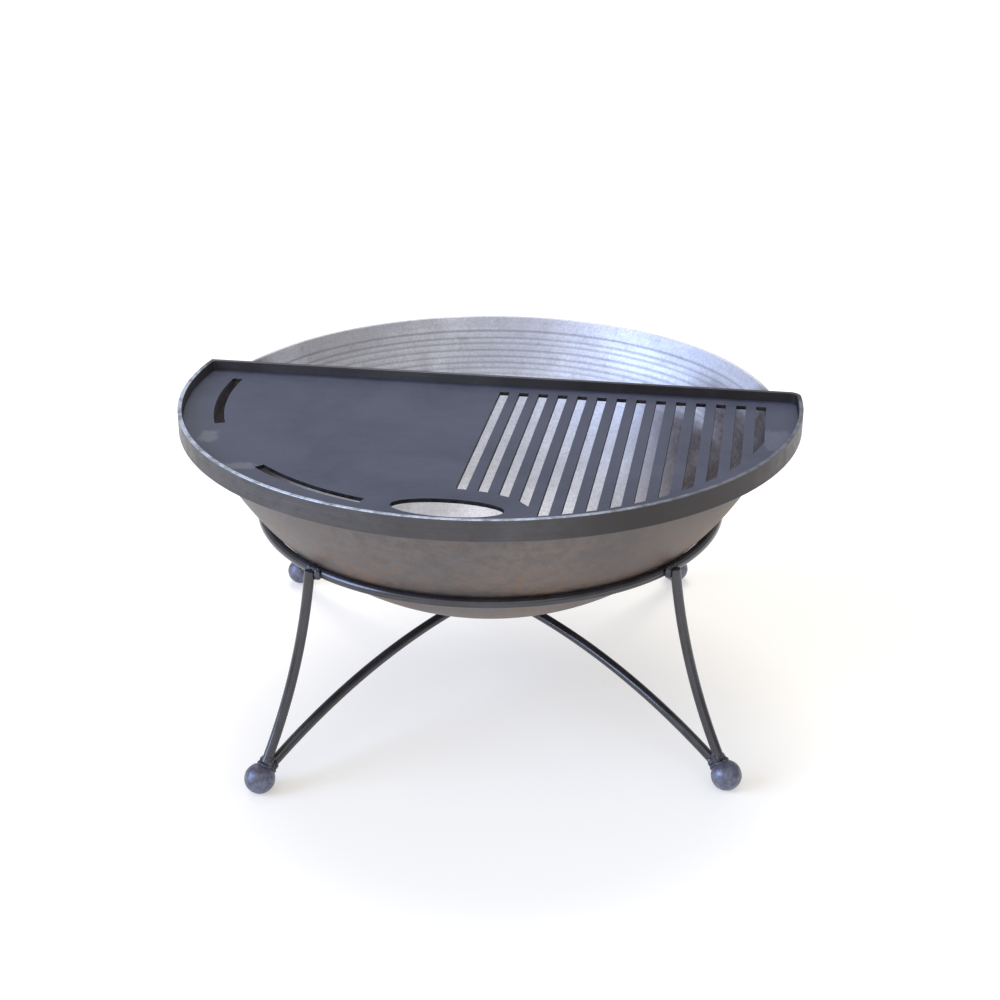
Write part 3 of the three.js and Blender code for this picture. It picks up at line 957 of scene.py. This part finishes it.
# %% The outside's finish
def outside_finish():
    """Bare steel that has stood in the weather."""
    steel = Finish("weathered_bare_steel", (0.15, 0.14, 0.14), metallic=0.35)
    wrapped = wall_distance(steel)
    turning = steel.cloud(1, detail=5, roughness=0.7, where=steel.stretch((500, 4, 4), wrapped))
    patches = steel.cloud(10, detail=7, roughness=0.62, distortion=0.3)
    blots = steel.cloud(150, detail=6, roughness=0.78)
    mottle = steel.cloud(70, detail=6, roughness=0.72)
    specks = steel.cloud(380, detail=3, roughness=0.7)
    near_ring = steel.span(steel.axis("Z"), bowl_high.z - 50 * MM, bowl_high.z - 115 * MM, 0.35, 1.0)
    patchy = steel.times(steel.span(patches, 0.30, 0.62, 0.25, 1.0), near_ring)
    rust = steel.times(patchy, steel.span(blots, 0.43, 0.59), True)
    cool = steel.mix(steel.span(patches, 0.33, 0.66), (0.138, 0.132, 0.134), (0.176, 0.164, 0.160))
    # Painted shade: the outside darkens and browns towards the right, away from the window light.
    shade_to_right = steel.span(steel.axis("X"), AXIS.x + 20 * MM, AXIS.x + 320 * MM, 0.0, 0.65)
    grey = steel.mix(shade_to_right, cool, (0.094, 0.078, 0.074))
    mottled = steel.mix(steel.span(mottle, 0.36, 0.64, 0.60, 0.0), grey, (0.080, 0.073, 0.073))
    lined = steel.mix(steel.span(turning, 0.35, 0.65, 0.2, 0.0), mottled, (0.10, 0.09, 0.09))
    rusty = steel.mix(steel.times(rust, 0.9), lined, (0.235, 0.135, 0.080))
    colour = steel.mix(steel.span(specks, 0.60, 0.74, 0.0, 0.5), rusty, (0.07, 0.058, 0.055))
    roughness = steel.plus(steel.span(mottle, 0.3, 0.7, 0.44, 0.56), steel.times(rust, 0.2))
    fine = steel.relief(specks, 0.10 * MM)
    normal = steel.relief(turning, 0.07 * MM, onto=fine, strength=0.6)
    return steel.wear(colour, roughness, normal)


# %% Spin the bowl
bowl_points, bowl_faces, groove_layer, inside_layer = spin_profile(bowl_profile)
BRIGHT_STEEL, WEATHERED_STEEL = inside_finish(), outside_finish()
notes = {"groove": groove_layer}
fire_bowl = put_piece("spun_bowl", bowl_points, bowl_faces, BRIGHT_STEEL, "bowl", ["bowl"], layers=notes)
fire_bowl.data.materials.append(WEATHERED_STEEL)
for face in fire_bowl.data.polygons:
    face.material_index = 0 if min(inside_layer[i] for i in face.vertices) > 0.2 else 1
weathered = sum(face.material_index for face in fire_bowl.data.polygons)
print(weathered, "weathered faces of", len(fire_bowl.data.polygons))

# %% [markdown]
# ## The cooking plate
# The plate is flame-cut from five millimetre sheet: a D with fourteen straight slots that make
# the grate, two curved slots near the edge, and an oval hole at the front. The real cutter
# follows a drawing, so the outlines are worked out first as a drawing, flat, with the D's middle
# at nought. The slots that meet the oval stop an even distance short of it.

# %% The D and its holes, in the plate's own directions
INSET = BAND_THICKNESS + WELD_GAP
BAND_INSIDE = BAND_OUTSIDE - BAND_THICKNESS
CHORD_INSIDE = CHORD_OFFSET - BAND_THICKNESS
OVAL_HALF_LENGTH = 61 * MM
OVAL_HALF_WIDTH = 22.5 * MM
OVAL_CENTRE = Vector((7 * MM, -(BAND_INSIDE - 28 * MM - OVAL_HALF_WIDTH)))
OVAL_MARGIN = 28 * MM  # the least metal between the oval and a straight slot
SLOT_COUNT = 14
SLOT_WIDTH = 11.5 * MM
FIRST_SLOT_X = 12.6 * MM
LAST_SLOT_MARGIN = 44.4 * MM  # from the last slot's centre to the band's inner face
SLOT_PITCH = (BAND_INSIDE - LAST_SLOT_MARGIN - FIRST_SLOT_X) / (SLOT_COUNT - 1)
SLOT_BACK = CHORD_INSIDE - 20.5 * MM
SLOT_FRONT_RADIUS = BAND_INSIDE - 29 * MM
CURVED_SLOT_WIDTH = 12 * MM
CURVED_SLOT_RADIUS = BAND_INSIDE - 37 * MM - CURVED_SLOT_WIDTH / 2
CURVED_SLOT_SPAN = math.radians(27)
print("slot pitch", round(SLOT_PITCH, 4), "D's radius inside the band", round(BAND_INSIDE, 4))


# %% The outlines


def arc(centre, radius, start, end, steps):
    """Points along an arc between two angles in radians."""
    x, y = centre
    angles = [start + (end - start) * k / steps for k in range(steps + 1)]
    return [Vector((x + radius * math.cos(a), y + radius * math.sin(a))) for a in angles]


def bend_of(radius, chord, bend):
    """The bent corner's centre, and the angle at which the big arc meets it."""
    centre = Vector((math.sqrt((radius - bend) ** 2 - (chord - bend) ** 2), chord - bend))
    return centre, math.atan2(centre.y, centre.x)


def plate_outline():
    """The D: its arc, its bent right-hand corner and its square left-hand one."""
    radius, chord, bend = BAND_OUTSIDE - INSET, CHORD_OFFSET - INSET, BEND_RADIUS - INSET
    centre, meets = bend_of(radius, chord, bend)
    left_corner = math.pi - math.asin(chord / radius)
    edge = arc((0, 0), radius, left_corner, 2 * math.pi + meets, 280)
    return edge + arc(centre, bend, meets, math.pi / 2, 12)[1:]


def oval_outline():
    angles = [2 * math.pi * k / 96 for k in range(96)]
    reach = [(OVAL_HALF_LENGTH * math.cos(a), OVAL_HALF_WIDTH * math.sin(a)) for a in angles]
    return [OVAL_CENTRE + Vector(step) for step in reach]


def slot_outline(centre_x):
    """A straight slot, square at the back and cut to the edge, or to the oval, in front."""

    def front(x):
        from_edge = -math.sqrt(SLOT_FRONT_RADIUS**2 - x**2)
        share = (x - OVAL_CENTRE.x) / (OVAL_HALF_LENGTH + OVAL_MARGIN)
        if abs(share) >= 1:
            return from_edge
        return max(from_edge, OVAL_CENTRE.y + (OVAL_HALF_WIDTH + OVAL_MARGIN) * math.sqrt(1 - share**2))

    left, right = centre_x - SLOT_WIDTH / 2, centre_x + SLOT_WIDTH / 2
    corners = [(left, SLOT_BACK), (left, front(left)), (right, front(right)), (right, SLOT_BACK)]
    return [Vector(corner) for corner in corners]


def curved_slot_outline(start):
    last = start + CURVED_SLOT_SPAN
    outer = arc((0, 0), CURVED_SLOT_RADIUS + CURVED_SLOT_WIDTH / 2, start, last, 30)
    return outer + arc((0, 0), CURVED_SLOT_RADIUS - CURVED_SLOT_WIDTH / 2, last, start, 30)


# %% From the drawing to the rim
def on_plate(point):
    """A point of the plate's own drawing, turned and moved to where the plate lies."""
    c, s = math.cos(PLATE_TURN), math.sin(PLATE_TURN)
    return Vector((AXIS.x + c * point[0] - s * point[1], AXIS.y + s * point[0] + c * point[1], 0))


left_slot_start = math.pi - math.asin((CHORD_INSIDE - 28 * MM) / CURVED_SLOT_RADIUS)
oval_end = math.atan2(OVAL_CENTRE.y, OVAL_CENTRE.x - OVAL_HALF_LENGTH) + 2 * math.pi
front_slot_start = oval_end - 32 * MM / CURVED_SLOT_RADIUS - CURVED_SLOT_SPAN
holes = [slot_outline(FIRST_SLOT_X + k * SLOT_PITCH) for k in range(SLOT_COUNT)]
holes += [curved_slot_outline(left_slot_start), curved_slot_outline(front_slot_start), oval_outline()]
print(len(holes), "holes")

# %% [markdown]
# ## Cutting it
# A flat outline with holes is what Blender's filled curves are for: the curve is filled, given its
# thickness and its slightly rounded edges in one go, and then turned into a mesh. Boolean cuts
# could make the same holes, but seventeen of them would leave long thin faces that shade badly.

# %% Cut the plate
CUT_EDGE = 0.6 * MM


def filled_sheet(name, outlines, low, high):
    """A filled curve with thickness and rounded edges, as points and faces."""
    curve = bpy.data.curves.new(name, "CURVE")
    curve.dimensions = "2D"
    curve.fill_mode = "BOTH"
    curve.extrude = (high - low) / 2 - CUT_EDGE
    curve.bevel_depth = CUT_EDGE
    curve.bevel_resolution = 2
    curve.offset = -CUT_EDGE
    for outline in outlines:
        spline = curve.splines.new("POLY")
        spline.points.add(len(outline) - 1)
        spline.use_cyclic_u = True
        for spot, point in zip(spline.points, outline):
            spot.co = (*on_plate(point).xy, 0, 1)
    holder = bpy.data.objects.new(name, curve)
    bpy.context.scene.collection.objects.link(holder)
    bpy.context.view_layer.update()
    sheet = holder.evaluated_get(bpy.context.evaluated_depsgraph_get()).to_mesh()
    middle = UP * (low + high) / 2
    points = [vertex.co.copy() + middle for vertex in sheet.vertices]
    faces = [tuple(face.vertices) for face in sheet.polygons]
    bpy.data.objects.remove(holder)
    return points, faces


def sharpened(piece):
    """Lets the broad faces set the shading, so that only the rounded edges look rounded."""
    steady = piece.modifiers.new("steady_faces", "WEIGHTED_NORMAL")
    steady.keep_sharp = True


# %% [markdown]
# ## The plate's finish
# Hot-rolled sheet comes with a slate-blue skin of scale. Handling has dulled it in clouds, a few
# scratches cross it, the edges of the slots are rubbed brighter, and dust lies by the left edge. A
# painted sheen lightens the right end.
# The torch left the cut faces black, and their colour is darkened further as painted shade for the
# slot walls in shadow. They get a finish of their own, picked by which way each face looks: the
# broad faces look up or down, and the cut ones look sideways.


# %% Plate finish
def near_spot(steel, centre, half_size, softness):
    """1 inside a box on the plate and 0 outside it, with soft, uneven sides."""
    ragged = steel.span(steel.cloud(150, detail=5, roughness=0.7), 0.2, 0.8, -1.0, 1.0)
    wander = steel.times(ragged, softness)
    shares = []
    for axis, middle, half in zip("XY", on_plate(centre), half_size):
        away = steel.maths("ABSOLUTE", steel.less(steel.axis(axis), middle))
        shares.append(steel.span(steel.plus(away, wander), half, half + softness, 1.0, 0.0))
    return steel.times(*shares)


# Each mark has its middle on the plate's drawing, half its width and depth, and its softness.
DUST = ((-302 * MM, -167 * MM), (7 * MM, 13 * MM), 6 * MM)
RUBBED = ((-241 * MM, -246 * MM), (14 * MM, 5 * MM), 6 * MM)
# A painted sheen: a paler patch at the right end, standing for reflected light.
RIGHT_END_SHEEN = ((346 * MM, -74 * MM), (10 * MM, 24 * MM), 10 * MM)


def plate_finish():
    """Hot-rolled sheet under its skin of slate-blue scale."""
    steel = Finish("slate_blue_sheet", (0.08, 0.085, 0.11), metallic=0.25, specular=0.25)
    clouds = steel.cloud(6, detail=7, roughness=0.6, distortion=0.5)
    mottle = steel.cloud(42, detail=6, roughness=0.65)
    grain = steel.cloud(460, detail=3, roughness=0.7)
    scratch = steel.cloud(1, detail=3, roughness=0.6, where=steel.stretch((14, 620, 20)))
    worn = steel.worn_edge(1.3 * MM)
    slate = steel.mix(steel.span(clouds, 0.32, 0.68), (0.044, 0.050, 0.078), (0.062, 0.070, 0.108))
    mottled = steel.mix(steel.span(mottle, 0.35, 0.68, 0.0, 0.35), slate, (0.078, 0.085, 0.116))
    scratched = steel.mix(steel.span(scratch, 0.66, 0.74, 0.0, 0.30), mottled, (0.13, 0.14, 0.18))
    specked = steel.mix(steel.span(grain, 0.62, 0.75, 0.0, 0.4), scratched, (0.020, 0.022, 0.034))
    # Painted sheen at the right end, lightening the colour.
    right_end_sheen = near_spot(steel, *RIGHT_END_SHEEN)
    dust = steel.most(near_spot(steel, *DUST), near_spot(steel, *RUBBED))
    pale = steel.mix(steel.times(right_end_sheen, 0.35), specked, (0.16, 0.175, 0.22))
    dusty = steel.mix(steel.times(dust, 0.4), pale, (0.20, 0.205, 0.23))
    edge = steel.times(worn, steel.span(mottle, 0.3, 0.6, 0.3, 1.0), True)
    colour = steel.mix(edge, dusty, (0.30, 0.31, 0.35))
    uneven = steel.span(mottle, 0.3, 0.7, -0.04, 0.08)
    roughness = steel.plus(steel.span(clouds, 0.3, 0.7, 0.50, 0.42), uneven)
    fine = steel.relief(grain, 0.08 * MM)
    normal = steel.relief(mottle, 0.25 * MM, onto=fine, strength=0.35)
    return steel.wear(colour, roughness, normal)


# %% The cut faces' finish
def cut_face_and_shade_finish():
    """The torch's black, finely ribbed face, darkened further as painted shade for the shaded slot
    walls.
    """
    steel = Finish("flame_cut_black_and_shade", (0.02, 0.02, 0.022), metallic=0.2)
    soot = steel.cloud(90, detail=5, roughness=0.65)
    ribs = steel.cloud(1, detail=3, where=steel.stretch((700, 700, 60)))
    # Partly the cut's black oxide and partly painted shade: very dark, as the slot walls look in shadow.
    black = steel.mix(steel.span(soot, 0.35, 0.65), (0.010, 0.010, 0.012), (0.035, 0.032, 0.032))
    colour = steel.mix(steel.span(ribs, 0.55, 0.75, 0.0, 0.5), black, (0.06, 0.052, 0.048))
    return steel.wear(colour, steel.span(soot, 0.3, 0.7, 0.45, 0.62), steel.relief(ribs, 0.20 * MM))


# %% Lay the plate on the rim
SIDEWAYS = 0.5  # a face whose normal rises less than this is a cut one
blank = filled_sheet("plate_blank", [plate_outline(), *holes], plate_low.z, plate_high.z)
SLATE_SHEET, CUT_FACE_AND_SHADE = plate_finish(), cut_face_and_shade_finish()
cooking_top = put_piece("grate_plate", *blank, SLATE_SHEET, "cooking_top", ["cooking_plate"])
cooking_top.data.materials.append(CUT_FACE_AND_SHADE)
for face in cooking_top.data.polygons:
    face.material_index = 1 if abs(face.normal.z) < SIDEWAYS else 0
sharpened(cooking_top)
cut_faces = sum(face.material_index for face in cooking_top.data.polygons)
print(cut_faces, "cut faces of", len(cooking_top.data.polygons))

# %% [markdown]
# ## The edge band
# A strip of flat bar stands on edge round the plate. It is rolled to the arc, bent round a small
# radius at the right and mitred to the straight bar at the left. Sweeping one section round the
# D keeps the strip's thickness true, and lets the mitre and the two notches that drop over the
# bowl's wall come from the same list of stations.

# %% The strip's stations
STRIP_ROUNDING = 0.8 * MM
NOTCH_FROM = 335.2 * MM
NOTCH_TO = 348.3 * MM
NOTCH_SIDE = 0.4 * MM


def band_stations():
    """(outer point, inner point, height of the lower edge) round the D, anticlockwise."""
    stations = []
    outer_bend, outer_meets = bend_of(BAND_OUTSIDE, CHORD_OFFSET, BEND_RADIUS)
    inner_bend, inner_meets = bend_of(BAND_INSIDE, CHORD_INSIDE, BEND_RADIUS - BAND_THICKNESS)
    outer_left = math.pi - math.asin(CHORD_OFFSET / BAND_OUTSIDE)
    inner_left = math.pi - math.asin(CHORD_INSIDE / BAND_INSIDE)
    outer = arc((0, 0), BAND_OUTSIDE, outer_left, 2 * math.pi + outer_meets, 260)
    inner = arc((0, 0), BAND_INSIDE, inner_left, 2 * math.pi + inner_meets, 260)
    outer += arc(outer_bend, BEND_RADIUS, outer_meets, math.pi / 2, 16)[1:]
    inner += arc(inner_bend, BEND_RADIUS - BAND_THICKNESS, inner_meets, math.pi / 2, 16)[1:]
    stations += [(one, other, band_low.z) for one, other in zip(outer, inner)]
    straight = [(NOTCH_TO + NOTCH_SIDE, band_low.z), (NOTCH_TO, plate_low.z)]
    straight += [(NOTCH_FROM, plate_low.z), (NOTCH_FROM - NOTCH_SIDE, band_low.z)]
    straight += [(NOTCH_FROM * (1 - k / 20) - NOTCH_SIDE, band_low.z) for k in range(1, 20)]
    mirrored = [(-x, low) for x, low in reversed(straight[:4])]
    straight += [(-NOTCH_FROM * k / 20, band_low.z) for k in range(0, 20)]
    straight += mirrored
    for x, low in straight:
        stations.append((Vector((x, CHORD_OFFSET)), Vector((x, CHORD_INSIDE)), low))
    return stations


def strip_section(outer, inner, low, high):
    """The points round the strip's section, with its four edges rounded."""
    share, lift = STRIP_ROUNDING / BAND_THICKNESS, STRIP_ROUNDING
    angles = [math.radians(a) for a in (0, 30, 60, 90)]
    quarter = [(1 - math.sin(a), 1 - math.cos(a)) for a in angles]
    spots = [(share * s, low + lift * c) for s, c in quarter]
    spots += [(share * c, high - lift * s) for s, c in quarter]
    spots += [(1 - share * s, high - lift * c) for s, c in quarter]
    spots += [(1 - share * c, low + lift * s) for s, c in quarter]
    return [on_plate(outer.lerp(inner, across)) + UP * height for across, height in spots]


# %% Sweep the strip
def swept_band():
    """The section carried round all the stations and joined up."""
    points, faces = [], []
    stations = band_stations()
    for outer, inner, low in stations:
        points += strip_section(outer, inner, low, band_high.z)
    around = len(points) // len(stations)
    for i in range(len(stations)):
        here, there = i * around, ((i + 1) % len(stations)) * around
        for k in range(around):
            on = (k + 1) % around
            faces.append((here + k, there + k, there + on, here + on))
    return points, faces


# %% [markdown]
# ## The band's finish
# The band is flat bar left bare. Its outer face has a grey skin, darker towards the right as painted
# shade, and its top edge is rubbed bright along the arc, with a painted highlight strongest at the front
# left.
# Wear could be painted on by hand, but a mask from height and from sharp edges finds the same
# places, and follows the strip if its size is changed.


# %% Band finish
def band_finish():
    """Flat bar, bare, with its top edge rubbed bright and given a painted highlight."""
    steel = Finish("bare_flat_bar", (0.11, 0.11, 0.115), metallic=0.5, specular=0.3)
    clouds = steel.cloud(8, detail=7, roughness=0.6)
    mottle = steel.cloud(65, detail=6, roughness=0.68)
    grain = steel.cloud(500, detail=3, roughness=0.7)
    rolled = steel.cloud(1, detail=4, roughness=0.65, where=steel.stretch((9, 9, 420)))
    worn = steel.worn_edge(1.6 * MM)
    bare = steel.mix(steel.span(clouds, 0.35, 0.65), (0.075, 0.073, 0.077), (0.108, 0.109, 0.118))
    # Painted shade: the outer face darkens to brown-black towards the right.
    band_shade_to_right = steel.span(steel.axis("X"), AXIS.x - 60 * MM, AXIS.x + 180 * MM, 0.0, 0.8)
    grey = steel.mix(band_shade_to_right, bare, (0.034, 0.029, 0.028))
    brown = steel.mix(steel.span(mottle, 0.45, 0.70, 0.0, 0.4), grey, (0.072, 0.052, 0.044))
    streaked = steel.mix(steel.span(rolled, 0.35, 0.65, 0.3, 0.0), brown, (0.05, 0.05, 0.055))
    # Partly wear and partly a painted highlight: the top edge along the arc, pale blue and strongest at
    # the front left, where the window light glints.
    top = steel.span(steel.axis("Z"), band_high.z - 1.0 * MM, band_high.z - 0.3 * MM)
    on_arc = steel.span(behind_axis(steel), 40 * MM, 20 * MM)
    sheen_to_left = steel.span(steel.axis("X"), AXIS.x + 260 * MM, AXIS.x - 20 * MM, 0.25, 1.0)
    knocks_and_sheen = steel.times(steel.span(mottle, 0.32, 0.60, 0.20, 0.85), sheen_to_left)
    rubbed_and_sheen = steel.times(steel.times(top, on_arc), knocks_and_sheen)
    bright = steel.most(rubbed_and_sheen, steel.times(worn, 0.5))
    colour = steel.mix(bright, streaked, (0.58, 0.64, 0.78))
    roughness = steel.less(steel.span(mottle, 0.3, 0.7, 0.34, 0.46), steel.times(bright, 0.1))
    fine = steel.relief(grain, 0.08 * MM)
    normal = steel.relief(rolled, 0.08 * MM, onto=fine, strength=0.6)
    return steel.wear(colour, roughness, normal)


band = put_piece("plate_band", *swept_band(), band_finish(), "cooking_top", ["edge_band"], sharp=40)
sharpened(band)

# %% [markdown]
# ## Small welds on the plate
# Short fillet welds under the plate hold the band to it. They are hardly seen from above, but
# they are the first thing to look for when the plate is lifted. Each is the same bead as on the
# stand, laid along a short path: some on the arc, given by their angle, and some on the straight
# side, given by their distance from its middle.


# %% Plate welds
FILLET = 2.2 * MM
FILLET_HALF_ANGLE = 2.2  # degrees of the arc
INTO_CORNER = 1.0 * MM
BELOW_PLATE = 0.6 * MM
ARC_FILLETS = (186, 204, 222, 240, 302, 320, 338, 356)
STRAIGHT_FILLETS = (-290, -190, -95, 0, 95, 190, 290)


def plate_welds():
    radius, straight = BAND_INSIDE - INTO_CORNER, CHORD_INSIDE - INTO_CORNER
    below = UP * (plate_low.z - BELOW_PLATE)
    lines = []
    for i, angle in enumerate(ARC_FILLETS):
        start, end = (math.radians(angle + side * FILLET_HALF_ANGLE) for side in (-1, 1))
        lines.append((60 + i, arc((0, 0), radius, start, end, 60)))
    for i, x in enumerate(STRAIGHT_FILLETS):
        steps = range(-28, 29)
        lines.append((80 + i, [Vector((x * MM + step * 0.5 * MM, straight)) for step in steps]))
    beads = []
    for seed, spots in lines:
        path = [on_plate(spot) + below for spot in spots]
        beads.append(weld_bead(path, UP, FILLET, seed))
    return joined(beads)


put_piece("plate_underside_welds", *plate_welds(), BEAD_STEEL, "cooking_top")
